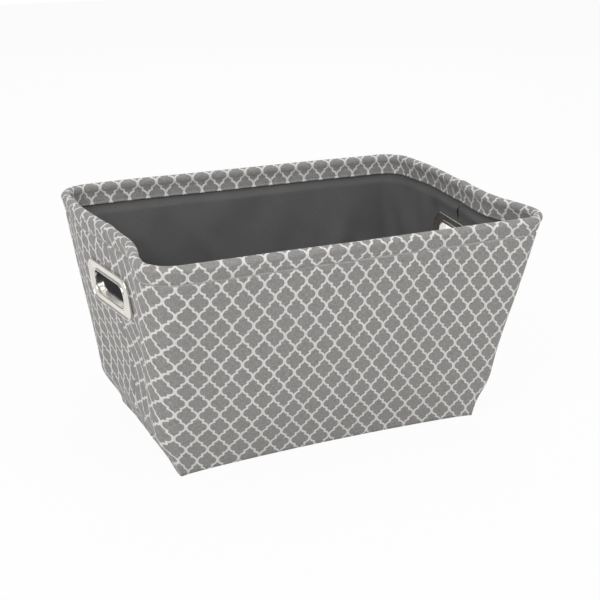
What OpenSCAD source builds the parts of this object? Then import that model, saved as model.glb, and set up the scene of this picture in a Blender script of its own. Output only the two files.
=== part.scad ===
// Soft storage bin: a tapered, lined canvas tub on a wire rim, with a metal-framed
// hand hold in each end and a loose covered board in the bottom.
// +X runs along the bin, +Y to its back, +Z up. The origin is on the floor at its middle.

/* [Bin] */
// Outside length over the rim
top_length = 380; // [320:1:460]
// Outside width over the rim
top_width = 286; // [230:1:350]
// Height from the floor to the top of the rim
height = 210; // [170:1:270]
// Outside length at the floor
bottom_length = 330; // [270:1:400]
// Outside width at the floor
bottom_width = 172; // [140:1:230]
// Corner radius at the rim, seen from above
top_corner = 38; // [30:1:50]
// Corner radius at the floor, seen from above
bottom_corner = 20; // [16:1:30]

/* [Fabric] */
// Thickness of the printed canvas
canvas = 1; // [0.8:0.1:1.4]
// Thickness of the felt interlining that stiffens the walls
interlining = 1.2; // [1:0.1:1.6]
// Thickness of the plain lining
lining = 0.6; // [0.4:0.1:1]
// Clearance between two plies
ply_gap = 0.2; // [0.15:0.05:0.3]
// Clearance round the rim wire
wire_gap = 0.35; // [0.3:0.05:0.5]
// Radius of the fold where the walls meet the base
floor_fold = 4; // [3.5:0.1:6]

/* [Rim] */
// Diameter of the rim wire
wire_d = 3.5; // [3:0.1:5]
// How far the rolled rim stands out past the wall
rim_proud = 1.2; // [0:0.1:2]
// Stitch line of the hem, below the top of the rim
stitch_drop = 17; // [14:0.5:22]
// Lower edge of the turned-in hem, below the top of the rim
hem_drop = 20; // [18:0.5:26]
// Top edge of the lining under the hem, below the top of the rim
lining_drop = 11; // [10:0.5:13]
// Length of the crimped sleeve that joins the two ends of the wire
ferrule_length = 22; // [14:1:32]
// Wall of the crimped sleeve
ferrule_wall = 1; // [0.7:0.1:1.2]

/* [Hand holds] */
// Length of the metal frame
frame_length = 86; // [76:1:130]
// Height of the metal frame
frame_height = 40; // [36:1:50]
// Corner radius of the metal frame
frame_corner = 12; // [8:0.5:16]
// Length of the finger slot
slot_length = 64; // [56:1:88]
// Height of the finger slot
slot_height = 22; // [20:1:26]
// Corner radius of the finger slot
slot_corner = 9; // [6:0.5:9.5]
// Middle of the slot, below the top of the rim
slot_drop = 60; // [52:1:80]
// Thickness of the frame's sheet metal
frame_sheet = 1; // [0.8:0.1:1.4]
// How far the frame's raised edges stand off the fabric
frame_relief = 2.6; // [2:0.1:4]
// Width of each raised edge
bead = 1.6; // [1.2:0.1:2.4]
// How far the backing sheet reaches past the frame
backing_margin = 4; // [2:0.5:8]

/* [Bottom board] */
// Thickness of the fibreboard
board = 2.6; // [2:0.1:4]
// Thickness of the board's fabric cover
board_cover = 0.6; // [0.4:0.1:1]
// Clearance between the covered board and the lining along the long walls
board_side_clearance = 7; // [1:0.5:10]
// Clearance between the covered board and the lining at the ends
board_end_clearance = 18; // [1:0.5:24]
// Corner radius of the covered board
board_corner = 14; // [6:1:20]

/* [Hidden] */

// Sewn edges of two panels that meet at an end of the bin
seam_gap = 0.3;
// Air under and inside the loose board's cover
board_gap = 0.3;
cover_slack = 0.1;
// Metal on metal in a clinched hand hold, and the opening cut for it in the fabric
clinch_gap = 0.1;
cut_gap = 0.4;
// Gap between the two ends of the wire, and between wire and sleeve
wire_end_gap = 1;
crimp_gap = 0.05;
// Flat facets in each corner of the walls, and the angle between points of the rolled hem
corner_steps = 8;
roll_step = 30;
$fn = 64;

// Plies of the wall, as depths from its outer face
interlining_in = canvas + ply_gap;
lining_in = interlining_in + interlining + ply_gap;
stack = lining_in + lining;
hem_in = stack + ply_gap;

// The rolled rim, in a plane square to the wall: depth and height of its middle
wire_r = wire_d / 2;
felt_bore = wire_r + wire_gap;
felt_roll = felt_bore + interlining;
canvas_bore = felt_roll + ply_gap;
rim_r = canvas_bore + canvas;
rim_in = rim_r - rim_proud;
rim_z = height - rim_r;

// Angles round the roll: 90 is its top, 180 points out of the bin and 0 into it
roll_start = 210;
roll_end = -30;
felt_end = 0;

wall_top = [top_length / 2 - rim_proud, top_width / 2 - rim_proud];
wall_foot = [bottom_length / 2, bottom_width / 2];
end_lean = atan((wall_top.x - wall_foot.x) / rim_z);

// Half size of the wall's outer face, and its corner radius, at a height
function half(z) = wall_foot + (wall_top - wall_foot) * z / rim_z;
function corner(z) = bottom_corner + (top_corner - rim_proud - bottom_corner) * z / rim_z;

// Stations along the front half: an end seam, a corner, the front, a corner, the other seam.
// Each is [sign of X, angle of the outward normal], and the seams have no angle.
stations = concat(
    [[-1, undef]],
    [for (i = [0:corner_steps]) [-1, 180 + 90 * i / corner_steps]],
    [for (i = [0:corner_steps]) [1, 270 + 90 * i / corner_steps]],
    [[1, undef]]
);

// A point of the front half at a station: its depth behind the outer face, its height, and
// the height at which that outer face is measured
function wall_point(station, depth, z, face_z) =
    is_undef(station[1])
        ? [station[0] * (half(face_z).x - depth), -seam_gap / 2, z]
        : let (r = corner(face_z), middle = half(face_z) - [r, r])
          [station[0] * middle.x + (r - depth) * cos(station[1]),
           -middle.y + (r - depth) * sin(station[1]), z];

// A ply of the front half: a closed outline carried along the stations. An outline's points
// are [depth, height], and those round the roll add the roll's own height. They run up the
// ply's outer side and back down its inner side, the same number of points on each.
module front_ply(outline) {
    n = len(outline);
    last = (len(stations) - 1) * n;
    polyhedron(
        points = [for (s = stations, p = outline)
            wall_point(s, p[0], p[1], len(p) > 2 ? p[2] : p[1])],
        faces = concat(
            [for (i = [0:n / 2 - 2]) [n - 1 - i, n - 2 - i, i + 1, i]],
            [for (i = [0:n / 2 - 2]) [last + i, last + i + 1, last + n - 2 - i, last + n - 1 - i]],
            [for (s = [0:len(stations) - 2], i = [0:n - 1])
                let (a = s * n + i, b = s * n + (i + 1) % n) [a, b, b + n, a + n]]
        ),
        convexity = 8
    );
}

module back_ply(outline) {
    mirror([0, 1, 0]) front_ply(outline);
}

// Points round the roll from one angle to another
function roll(r, from, to) = [
    for (a = [from:sign(to - from) * roll_step:to])
        [rim_in + r * cos(a), rim_z + r * sin(a), rim_z]
];

// Canvas: under the fold, up the wall, over the wire and down inside as the hem
canvas_outline = concat(
    [[floor_fold, 0], [floor_fold * 0.3, floor_fold * 0.3], [0, floor_fold], [0, height - stitch_drop]],
    roll(rim_r, roll_start, roll_end),
    [[hem_in + canvas, height - hem_drop], [hem_in, height - hem_drop]],
    roll(canvas_bore, roll_end, roll_start),
    [[canvas, height - stitch_drop], [canvas, floor_fold],
     [canvas + floor_fold * 0.2, canvas + floor_fold * 0.2], [floor_fold, canvas]]
);

// Felt: up the wall and over the wire
felt_outline = concat(
    [[interlining_in, floor_fold], [interlining_in, height - stitch_drop]],
    roll(felt_roll, roll_start, felt_end),
    roll(felt_bore, felt_end, roll_start),
    [[interlining_in + interlining, height - stitch_drop], [interlining_in + interlining, floor_fold]]
);

base_lining_z = canvas + ply_gap;
lining_foot_z = base_lining_z + lining + ply_gap;
lining_outline = [
    [lining_in, lining_foot_z], [lining_in, height - lining_drop],
    [stack, height - lining_drop], [stack, lining_foot_z]
];

// A rounded rectangle of exact arcs, centred
module rounded(size, r) {
    square([size.x - 2 * r, size.y], center = true);
    square([size.x, size.y - 2 * r], center = true);
    for (x = [-1, 1], y = [-1, 1])
        translate([x * (size.x / 2 - r), y * (size.y / 2 - r)]) circle(r);
}

// A flat sheet that fills the bin's footprint at a depth behind its outer face
module floor_sheet(depth, z, thickness) {
    inset = [depth, depth];
    translate([0, 0, z]) linear_extrude(thickness)
        rounded(2 * (wall_foot - inset), bottom_corner - depth);
}

// Places a hand hold's pieces on an end wall: their Z leaves the wall, Y runs up it
module on_end(side) {
    z = height - slot_drop;
    mirror([side < 0 ? 1 : 0, 0, 0]) translate([half(z).x, 0, z]) rotate([0, end_lean, 0])
        rotate([90, 0, 90]) children();
}

// The opening cut through the plies for the collar of a hand hold
collar_wall = frame_sheet;
collar_size = [slot_length, slot_height] + 2 * [collar_wall, collar_wall];
module slot_cut() {
    for (side = [-1, 1]) on_end(side) translate([0, 0, -2 * stack]) linear_extrude(4 * stack)
        rounded(collar_size + 2 * [cut_gap, cut_gap], slot_corner + collar_wall + cut_gap);
}

// A flat ring of sheet between an outer and an inner rounded rectangle
module frame_ring(outer, outer_r, inner, inner_r, thickness) {
    linear_extrude(thickness) difference() {
        rounded(outer, outer_r);
        rounded(inner, inner_r);
    }
}

frame_size = [frame_length, frame_height];
slot_size = [slot_length, slot_height];
wall_depth = stack * cos(end_lean);
inner_face = -wall_depth - 2 * ply_gap;

// Flange with raised inner and outer edges, on the outer face of the wall
module frame_flange() {
    edge = 2 * [bead, bead];
    frame_ring(frame_size, frame_corner, slot_size, slot_corner, frame_sheet);
    frame_ring(frame_size, frame_corner, frame_size - edge, frame_corner - bead, frame_relief);
    frame_ring(slot_size + edge, slot_corner + bead, slot_size, slot_corner, frame_relief);
}

module handle_outer_frame(side) {
    collar_length = ply_gap - inner_face + 2 * frame_sheet + clinch_gap;
    color("silver") on_end(side) {
        translate([0, 0, ply_gap]) frame_flange();
        translate([0, 0, ply_gap - collar_length])
            frame_ring(collar_size, slot_corner + collar_wall, slot_size, slot_corner, collar_length);
        // the collar's end, rolled over the inner frame
        translate([0, 0, ply_gap - collar_length])
            frame_ring(collar_size + 2 * [bead, bead], slot_corner + collar_wall + bead,
                slot_size, slot_corner, frame_sheet - clinch_gap);
    }
}

module handle_inner_frame(side) {
    bore = collar_size + 2 * [clinch_gap, clinch_gap];
    bore_r = slot_corner + collar_wall + clinch_gap;
    color("silver") on_end(side) translate([0, 0, inner_face]) mirror([0, 0, 1]) {
        frame_ring(frame_size, frame_corner, bore, bore_r, frame_sheet);
        frame_ring(frame_size, frame_corner, frame_size - 2 * [bead, bead], frame_corner - bead,
            frame_relief);
    }
}

// The stiff sheet round the slot lies in a window of the felt
backing_size = frame_size + 2 * [backing_margin, backing_margin];
module backing_shape(grow, thickness) {
    depth = (interlining_in + interlining / 2) * cos(end_lean);
    for (side = [-1, 1]) on_end(side) translate([0, 0, -depth - thickness / 2])
        linear_extrude(thickness) rounded(backing_size + 2 * [grow, grow], frame_corner + grow);
}

module handle_backing(side) {
    color("whitesmoke") difference() {
        intersection() {
            backing_shape(0, interlining * cos(end_lean));
            translate([side * top_length / 2, 0, height / 2]) cube([top_length, top_width, height], center = true);
        }
        slot_cut();
    }
}

module outer_front_panel() {
    color("darkgray") difference() {
        front_ply(canvas_outline);
        slot_cut();
    }
}

module outer_back_panel() {
    color("darkgray") difference() {
        back_ply(canvas_outline);
        slot_cut();
    }
}

module outer_base_panel() {
    color("gray") floor_sheet(floor_fold + ply_gap, 0, canvas);
}

// Windows in the felt for the two backing sheets
module backing_window() {
    backing_shape(ply_gap, 2 * interlining);
}

module front_interlining() {
    color("ivory") difference() {
        front_ply(felt_outline);
        backing_window();
    }
}

// The felt is notched round the sleeve on the wire
module back_interlining() {
    notch = [ferrule_length + 4, 4 * rim_r, 4 * rim_r];
    color("ivory") difference() {
        back_ply(felt_outline);
        backing_window();
        translate([0, half(rim_z).y - rim_in, rim_z]) cube(notch, center = true);
    }
}

module lining_front_panel() {
    color("dimgray") difference() {
        front_ply(lining_outline);
        slot_cut();
    }
}

module lining_back_panel() {
    color("dimgray") difference() {
        back_ply(lining_outline);
        slot_cut();
    }
}

module lining_base_panel() {
    color("dimgray") floor_sheet(floor_fold + ply_gap, base_lining_z, lining);
}

// The rim wire: one round bar bent to the rim, its two ends facing each other at the back
rim_half = half(rim_z) - [rim_in, rim_in];
rim_corner = corner(rim_z) - rim_in;
module rim_wire() {
    run = rim_half - [rim_corner, rim_corner];
    back_run = run.x - wire_end_gap / 2;
    color("lightsteelblue") translate([0, 0, rim_z]) {
        for (x = [-1, 1]) {
            translate([x * (wire_end_gap + back_run) / 2, rim_half.y, 0]) rotate([0, 90, 0])
                cylinder(h = back_run, r = wire_r, center = true);
            translate([x * rim_half.x, 0, 0]) rotate([90, 0, 0])
                cylinder(h = 2 * run.y, r = wire_r, center = true);
            for (y = [-1, 1])
                translate([x * run.x, y * run.y, 0]) mirror([x < 0 ? 1 : 0, 0, 0])
                    mirror([0, y < 0 ? 1 : 0, 0])
                        rotate_extrude(angle = 90) translate([rim_corner, 0]) circle(wire_r);
        }
        translate([0, -rim_half.y, 0]) rotate([0, 90, 0])
            cylinder(h = 2 * run.x, r = wire_r, center = true);
    }
}

module rim_wire_ferrule() {
    color("slategray") translate([0, rim_half.y, rim_z]) rotate([0, 90, 0])
        linear_extrude(ferrule_length, center = true) difference() {
            circle(wire_r + crimp_gap + ferrule_wall);
            circle(wire_r + crimp_gap);
        }
}

// The loose board and its sewn cover
board_half = wall_foot - [stack + board_end_clearance, stack + board_side_clearance];
cover_z = lining_foot_z - ply_gap + board_gap;
board_z = cover_z + board_cover + cover_slack;
module board_sheet(inset, z, thickness) {
    translate([0, 0, z]) linear_extrude(thickness)
        rounded(2 * (board_half - [inset, inset]), board_corner - inset);
}

module bottom_board() {
    color("tan") board_sheet(board_cover + cover_slack, board_z, board);
}

module bottom_board_cover() {
    color("dimgray") difference() {
        board_sheet(0, cover_z, board + 2 * (board_cover + cover_slack));
        board_sheet(board_cover, cover_z + board_cover, board + 2 * cover_slack);
    }
}

outer_front_panel();
outer_back_panel();
outer_base_panel();
front_interlining();
back_interlining();
lining_front_panel();
lining_back_panel();
lining_base_panel();
rim_wire();
rim_wire_ferrule();
handle_outer_frame(-1);  // left_handle_outer_frame
handle_inner_frame(-1);  // left_handle_inner_frame
handle_backing(-1);  // left_handle_backing
handle_outer_frame(1);  // right_handle_outer_frame
handle_inner_frame(1);  // right_handle_inner_frame
handle_backing(1);  // right_handle_backing
bottom_board();
bottom_board_cover();
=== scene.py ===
"""Fabric storage bin: printed canvas over felt on a wire rim, plain lining, metal hand holds
and a lift-out covered board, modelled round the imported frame."""

import math

import bmesh
import bpy
import numpy as np
from bpy.props import FloatProperty, FloatVectorProperty, IntProperty, PointerProperty
from mathutils import Matrix, Vector, noise


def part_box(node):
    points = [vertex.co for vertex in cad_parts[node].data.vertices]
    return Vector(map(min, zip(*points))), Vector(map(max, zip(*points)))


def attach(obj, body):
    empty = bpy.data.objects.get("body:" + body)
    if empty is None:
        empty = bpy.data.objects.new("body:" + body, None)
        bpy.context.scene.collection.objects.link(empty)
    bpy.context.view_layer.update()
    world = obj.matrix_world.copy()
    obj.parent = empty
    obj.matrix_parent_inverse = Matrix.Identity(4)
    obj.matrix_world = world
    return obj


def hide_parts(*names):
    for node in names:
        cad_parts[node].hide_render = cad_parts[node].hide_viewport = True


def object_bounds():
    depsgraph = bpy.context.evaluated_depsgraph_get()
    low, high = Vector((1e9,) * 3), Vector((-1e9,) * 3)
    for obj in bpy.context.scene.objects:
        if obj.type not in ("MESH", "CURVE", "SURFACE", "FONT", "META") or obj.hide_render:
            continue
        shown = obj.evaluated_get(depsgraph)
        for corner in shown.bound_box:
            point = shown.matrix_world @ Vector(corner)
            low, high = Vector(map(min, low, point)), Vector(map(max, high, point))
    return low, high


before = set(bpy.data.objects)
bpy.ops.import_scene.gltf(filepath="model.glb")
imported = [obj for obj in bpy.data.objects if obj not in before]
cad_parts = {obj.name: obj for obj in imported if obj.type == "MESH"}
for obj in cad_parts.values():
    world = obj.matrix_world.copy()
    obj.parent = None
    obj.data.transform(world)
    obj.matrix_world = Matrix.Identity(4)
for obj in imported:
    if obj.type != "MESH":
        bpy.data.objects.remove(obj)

bl_info = {
    "name": "Fabric Storage Bin",
    "version": (1, 0, 0),
    "blender": (4, 5, 0),
    "location": "View3D > Sidebar > Bin",
    "description": "Builds a printed canvas storage bin with metal hand holds",
    "category": "Add Mesh",
}

MM = 0.001
CAD_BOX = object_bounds()
CAD_HIGH = np.array(CAD_BOX[1])
BASE_HIGH = np.array(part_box("outer_base_panel")[1])
FRAME_LOW, FRAME_HIGH = (np.array(c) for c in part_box("right_handle_outer_frame"))

# How the plies of the wall lie, in metres from the outer face inwards
ROLL_RADIUS = 4.5 * MM
ROLL_PROUD = 1.2 * MM
ROLL_DEPTH = ROLL_RADIUS - ROLL_PROUD
CANVAS = 1.0 * MM
FELT = (1.2 * MM, 2.4 * MM)
LINING = (2.6 * MM, 3.2 * MM)
HEM_DEPTH = 4.4 * MM
WIRE_RADIUS = 1.75 * MM
RIM_Z = CAD_HIGH[2] - ROLL_RADIUS
WALL_TOP = CAD_HIGH[:2] - ROLL_PROUD
WALL_FOOT = np.array([0.165, 0.086])
WALL_LENGTH = math.hypot(RIM_Z, WALL_TOP[1] - WALL_FOOT[1])
END_LEAN = math.atan((WALL_TOP[0] - WALL_FOOT[0]) / RIM_Z)
STITCH_Z = CAD_HIGH[2] - 17 * MM
HEM_Z = CAD_HIGH[2] - 20 * MM
LINING_TOP = CAD_HIGH[2] - 11 * MM
HOLD_Z = 150 * MM
HOLD_LENGTH = FRAME_HIGH[1] - FRAME_LOW[1]
HOLD_HEIGHT = 40 * MM
SLOT_LENGTH = HOLD_LENGTH - 22 * MM
SLOT_HEIGHT = 22 * MM
FRAME_CORNER = 12 * MM
SLOT_CORNER = 9 * MM


# ---------------------------------------------------------------- settings


class BinShape(bpy.types.PropertyGroup):
    """Sizes of the settled cloth."""

    top_corner: FloatProperty(name="Top corner", description="Corner radius at the rim",
                              default=30 * MM, unit="LENGTH")
    foot_corner: FloatProperty(name="Foot corner", description="Corner radius at the floor",
                               default=7 * MM, unit="LENGTH")
    end_hollow_top: FloatProperty(name="End hollow, top", default=4.5 * MM, unit="LENGTH",
                                  description="How far the ends lean in at the rim")
    end_hollow_middle: FloatProperty(name="End hollow, middle", default=10 * MM, unit="LENGTH",
                                     description="How far the ends sink in below the hand holds")
    hold_turn: FloatProperty(name="Hold turn", default=0.12, unit="NONE",
                             description="Slope of the ends at the hand holds, front deeper")
    foot_tuck: FloatProperty(name="Foot tuck", default=15 * MM, unit="LENGTH",
                             description="How far the ends' foot tucks under")
    front_hollow: FloatProperty(name="Front hollow", default=5.5 * MM, unit="LENGTH",
                                description="How far the long walls pull in at the floor")
    seam_offset: FloatProperty(name="Seam offset", default=-6 * MM, unit="LENGTH",
                               description="Where the end seams stand from the middle")
    station_step: FloatProperty(name="Station step", default=2.4 * MM, unit="LENGTH",
                                description="Spacing of the mesh round the bin")


class BinPrint(bpy.types.PropertyGroup):
    """The trellis printed on the canvas."""

    cell_width: FloatProperty(name="Cell width", description="Width of one repeat",
                              default=19.0 * MM, unit="LENGTH")
    cell_height: FloatProperty(name="Cell height", description="Height of two staggered rows",
                               default=27.2 * MM, unit="LENGTH")
    lobe_radius: FloatProperty(name="Lobe radius", description="Radius of the side lobes",
                               default=5.48 * MM, unit="LENGTH")
    lobe_centre: FloatProperty(name="Lobe centre", description="Side lobe's centre from the cell's",
                               default=3.64 * MM, unit="LENGTH")
    line_width: FloatProperty(name="Line width", description="Width of the pale line",
                              default=1.9 * MM, unit="LENGTH")
    ground: FloatVectorProperty(name="Ground", description="Grey of the cells", subtype="COLOR",
                                default=(0.275, 0.266, 0.257))
    line: FloatVectorProperty(name="Line", description="Off-white of the lines", subtype="COLOR",
                              default=(0.74, 0.73, 0.715))


class BinTrim(bpy.types.PropertyGroup):
    """Colours of the other finishes."""

    lining: FloatVectorProperty(name="Lining", description="Charcoal cloth", subtype="COLOR",
                                default=(0.086, 0.086, 0.087))
    felt: FloatVectorProperty(name="Felt", description="Grey interlining", subtype="COLOR",
                              default=(0.42, 0.41, 0.40))
    metal: FloatVectorProperty(name="Metal", description="Polished nickel", subtype="COLOR",
                               default=(0.83, 0.80, 0.75))
    board: FloatVectorProperty(name="Board", description="Brown fibreboard", subtype="COLOR",
                               default=(0.36, 0.25, 0.15))
    thread: FloatVectorProperty(name="Thread", description="Sewing thread", subtype="COLOR",
                                default=(0.15, 0.147, 0.144))
    fold_depth: FloatProperty(name="Fold depth", description="Depth of the lining's folds",
                              default=9 * MM, unit="LENGTH")
    seed: IntProperty(name="Seed", description="Seed of the small irregularities", default=7)


# ---------------------------------------------------------------- shader writing


class Val:
    """A number in a shader: a node's socket that takes part in Python sums."""

    def __init__(self, shader, socket):
        self.shader = shader
        self.socket = socket

    def _sum(self, operation, *values):
        return self.shader.math(operation, *values)

    def __add__(self, other):
        return self._sum("ADD", self, other)

    def __sub__(self, other):
        return self._sum("SUBTRACT", self, other)

    def __rsub__(self, other):
        return self._sum("SUBTRACT", other, self)

    def __mul__(self, other):
        return self._sum("MULTIPLY", self, other)

    def __truediv__(self, other):
        return self._sum("DIVIDE", self, other)

    __radd__ = __add__
    __rmul__ = __mul__


class Shader:
    """A material's nodes, with one Principled shader at the end."""

    def __init__(self, name):
        self.material = bpy.data.materials.new(name)
        self.material.use_nodes = True
        self.tree = self.material.node_tree
        self.tree.nodes.clear()

    def node(self, kind, settings=None, **inputs):
        """Adds a node: its settings first, then values or links for its sockets."""
        made = self.tree.nodes.new(kind)
        for key, value in (settings or {}).items():
            if key == "stops":
                ramp = made.color_ramp
                while len(ramp.elements) < len(value):
                    ramp.elements.new(0.5)
                for element, (place, colour) in zip(ramp.elements, value):
                    element.position = place
                    element.color = colour
            else:
                setattr(made, key, value)
        for key, value in inputs.items():
            socket = made.inputs[int(key[1:])] if key[1:].isdigit() else made.inputs[key.replace("_", " ")]
            self.feed(socket, value)
        return made

    def feed(self, socket, value):
        if isinstance(value, Val):
            value = value.socket
        if isinstance(value, bpy.types.NodeSocket):
            self.tree.links.new(value, socket)
        else:
            socket.default_value = value

    def math(self, operation, *values):
        inputs = {f"i{n}": value for n, value in enumerate(values)}
        made = self.node("ShaderNodeMath", {"operation": operation}, **inputs)
        return Val(self, made.outputs[0])

    def step(self, value, low, high):
        """0 below low, 1 above high, smooth between."""
        made = self.node("ShaderNodeMapRange", {"interpolation_type": "SMOOTHSTEP"},
                         Value=value, From_Min=low, From_Max=high, To_Min=0.0, To_Max=1.0)
        return Val(self, made.outputs["Result"])

    def mix(self, factor, first, second, blend="MIX"):
        made = self.node("ShaderNodeMix", {"data_type": "RGBA", "blend_type": blend, "clamp_factor": True},
                         i0=factor, i6=first, i7=second)
        return made.outputs[2]

    def noise(self, vector, scale, detail=2.0, roughness=0.5):
        made = self.node("ShaderNodeTexNoise", {}, Vector=vector, Scale=scale, Detail=detail,
                         Roughness=roughness)
        return Val(self, made.outputs[0])

    def place(self):
        return self.node("ShaderNodeTexCoord").outputs["Object"]

    def cloth(self):
        """Where a point lies on the flat cloth, as a vector and as two numbers, in metres."""
        flat = self.node("ShaderNodeUVMap", {"uv_map": "cloth"}).outputs[0]
        split = self.node("ShaderNodeSeparateXYZ", {}, Vector=flat)
        return flat, Val(self, split.outputs[0]), Val(self, split.outputs[1])

    def scaled(self, vector, scale):
        made = self.node("ShaderNodeVectorMath", {"operation": "MULTIPLY"}, i0=vector, i1=scale)
        return made.outputs[0]

    def finish(self, colour, roughness, bump=None, strength=0.3, distance=0.0003, metallic=0.0,
               sheen=0.0, coat=0.0):
        shader = self.node("ShaderNodeBsdfPrincipled", {}, Base_Color=colour, Roughness=roughness,
                           Metallic=metallic)
        shader.inputs["Sheen Weight"].default_value = sheen
        shader.inputs["Sheen Roughness"].default_value = 0.5
        shader.inputs["Coat Weight"].default_value = coat
        if bump is not None:
            made = self.node("ShaderNodeBump", {}, Strength=strength, Distance=distance, Height=bump)
            self.feed(shader.inputs["Normal"], made.outputs[0])
        end = self.node("ShaderNodeOutputMaterial")
        self.feed(end.inputs["Surface"], shader.outputs[0])
        return self.material


def rgba(colour, factor=1.0):
    return tuple(min(1.0, c * factor) for c in colour) + (1.0,)


def weave(s, across, along, pitch):
    """Height of a plain weave: threads over and under at the given pitch."""
    turn = 2 * math.pi / pitch
    over = s.math("SINE", across * turn) * s.math("SINE", along * turn)
    return over * 0.5 + 0.5


def printed_canvas(settings):
    s = Shader("printed canvas")
    flat, across, along = s.cloth()
    wobble = s.noise(flat, 260.0, 1.0)
    across_line = across + (wobble - 0.5) * (0.5 * MM)
    along_line = along + (s.noise(s.scaled(flat, (1.0, 1.3, 1.0)), 240.0, 1.0) - 0.5) * (0.5 * MM)
    half_width = settings.cell_width / 2
    half_height = settings.cell_height / 2
    a = s.math("PINGPONG", across_line, half_width)
    b = s.math("PINGPONG", along_line, half_height)
    turned = s.math("LESS_THAN", a, half_width / 2)
    a = a + turned * (half_width - a * 2)
    b = b + turned * (half_height - b * 2)
    reach_a = a - settings.lobe_centre
    ring = s.math("SQRT", reach_a * reach_a + b * b) - settings.lobe_radius
    lobe = s.math("ABSOLUTE", ring)
    jog_a = a - half_width / 2
    jog_b = s.math("MAXIMUM", s.math("ABSOLUTE", b - half_height / 2) - 1.5 * MM, 0.0)
    jog = s.math("SQRT", jog_a * jog_a + jog_b * jog_b)
    near = s.math("MINIMUM", lobe, jog)
    half_line = settings.line_width / 2
    line = 1 - s.step(near, half_line - 0.18 * MM, half_line + 0.18 * MM)
    threads = weave(s, across, along, 0.9 * MM)
    slub_across = s.noise(s.scaled(flat, (0.4, 1.9, 1.0)), 620.0, 2.0)
    slub_along = s.noise(s.scaled(flat, (1.9, 0.4, 1.0)), 620.0, 2.0)
    slubs = slub_across * 0.5 + slub_along * 0.5
    shade = s.noise(flat, 18.0, 3.0)
    ground = s.mix(s.step(slubs, 0.3, 0.7), rgba(settings.ground, 0.70), rgba(settings.ground, 1.26))
    pale = s.mix(s.step(slubs, 0.3, 0.7), rgba(settings.line, 0.86), rgba(settings.line, 1.08))
    colour = s.mix(line, ground, pale)
    colour = s.mix(s.step(shade, 0.3, 0.7) * 0.10, colour, (0.30, 0.29, 0.28, 1.0))
    rough = s.step(slubs, 0.0, 1.0) * 0.1 + 0.84
    height = threads * 0.45 + slubs * 0.55 + line * 0.12
    return s.finish(colour, rough, height, strength=0.45, distance=0.22 * MM, sheen=0.12)


def plain_lining(settings):
    s = Shader("plain lining")
    flat, across, along = s.cloth()
    threads = weave(s, across, along, 0.7 * MM)
    slubs = s.noise(s.scaled(flat, (0.4, 2.4, 1.0)), 1100.0, 2.0) * 0.5 + s.noise(
        s.scaled(flat, (2.4, 0.4, 1.0)), 1100.0, 2.0) * 0.5
    shade = s.noise(flat, 30.0, 3.0)
    colour = s.mix(s.step(slubs, 0.3, 0.7), rgba(settings.lining, 0.8), rgba(settings.lining, 1.2))
    colour = s.mix(s.step(shade, 0.35, 0.7) * 0.25, colour, rgba(settings.lining, 1.5))
    return s.finish(colour, s.step(shade, 0.2, 0.8) * 0.1 + 0.82, threads * 0.4 + slubs * 0.6,
                    strength=0.4, distance=0.16 * MM, sheen=0.1)


def felt(settings):
    s = Shader("felt interlining")
    place = s.place()
    fibres = s.noise(place, 1600.0, 4.0, 0.7)
    clumps = s.noise(place, 120.0, 3.0)
    colour = s.mix(s.step(fibres * 0.6 + clumps * 0.4, 0.35, 0.65), rgba(settings.felt, 0.75),
                   rgba(settings.felt, 1.2))
    return s.finish(colour, clumps * 0.1 + 0.88, fibres, strength=0.6, distance=0.3 * MM)


def plated_metal(settings, name, rough=0.16, tone=1.0):
    s = Shader(name)
    place = s.place()
    haze = s.noise(place, 60.0, 3.0)
    scuffs = s.noise(s.scaled(place, (1.0, 0.25, 6.0)), 900.0, 3.0, 0.6)
    colour = s.mix(s.step(haze, 0.3, 0.75), rgba(settings.metal, 0.9 * tone), rgba(settings.metal, tone))
    roughness = s.step(haze, 0.3, 0.7) * 0.10 + s.step(scuffs, 0.55, 0.75) * 0.08 + rough
    return s.finish(colour, roughness, scuffs * 0.3 + haze * 0.7, strength=0.12, distance=0.15 * MM,
                    metallic=1.0)


def backing(settings):
    s = Shader("backing sheet")
    place = s.place()
    grain = s.noise(place, 700.0, 3.0)
    colour = s.mix(s.step(grain, 0.3, 0.7), (0.70, 0.69, 0.66, 1.0), (0.82, 0.81, 0.79, 1.0))
    return s.finish(colour, s.step(grain, 0.0, 1.0) * 0.2 + 0.45, grain, strength=0.2, distance=0.1 * MM)


def fibreboard(settings):
    s = Shader("fibreboard")
    place = s.place()
    fibres = s.noise(s.scaled(place, (1.0, 3.0, 8.0)), 500.0, 4.0, 0.65)
    blotch = s.noise(place, 40.0, 3.0)
    colour = s.mix(s.step(fibres * 0.7 + blotch * 0.3, 0.35, 0.65), rgba(settings.board, 0.75),
                   rgba(settings.board, 1.25))
    return s.finish(colour, fibres * 0.15 + 0.75, fibres, strength=0.4, distance=0.2 * MM)


def sewing_thread(settings, name, factor=1.0):
    s = Shader(name)
    place = s.place()
    twist = s.noise(s.scaled(place, (1.0, 1.0, 1.6)), 2200.0, 2.0)
    colour = s.mix(s.step(twist, 0.35, 0.65), rgba(settings.thread, 0.7 * factor),
                   rgba(settings.thread, 1.25 * factor))
    return s.finish(colour, twist * 0.1 + 0.6, twist, strength=0.5, distance=0.1 * MM)


# ---------------------------------------------------------------- the wall's shape


def smooth(t):
    t = np.clip(t, 0, 1)
    return t * t * (3 - 2 * t)


def bump_at(value, middle, width):
    return np.exp(-((value - middle) / width) ** 2)


FOLD_COUNT = 15


def cloth_noise(points, scale, shift):
    """Soft irregular waves, from about -1 to 1, at each point."""
    flat = points.reshape(-1, 3) * scale + shift
    values = [noise.noise(Vector(p)) for p in flat]
    return np.array(values).reshape(points.shape[:-1]) * 1.6


def half_size(z):
    return WALL_FOOT + (WALL_TOP - WALL_FOOT) * np.asarray(z)[..., None] / RIM_Z


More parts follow.
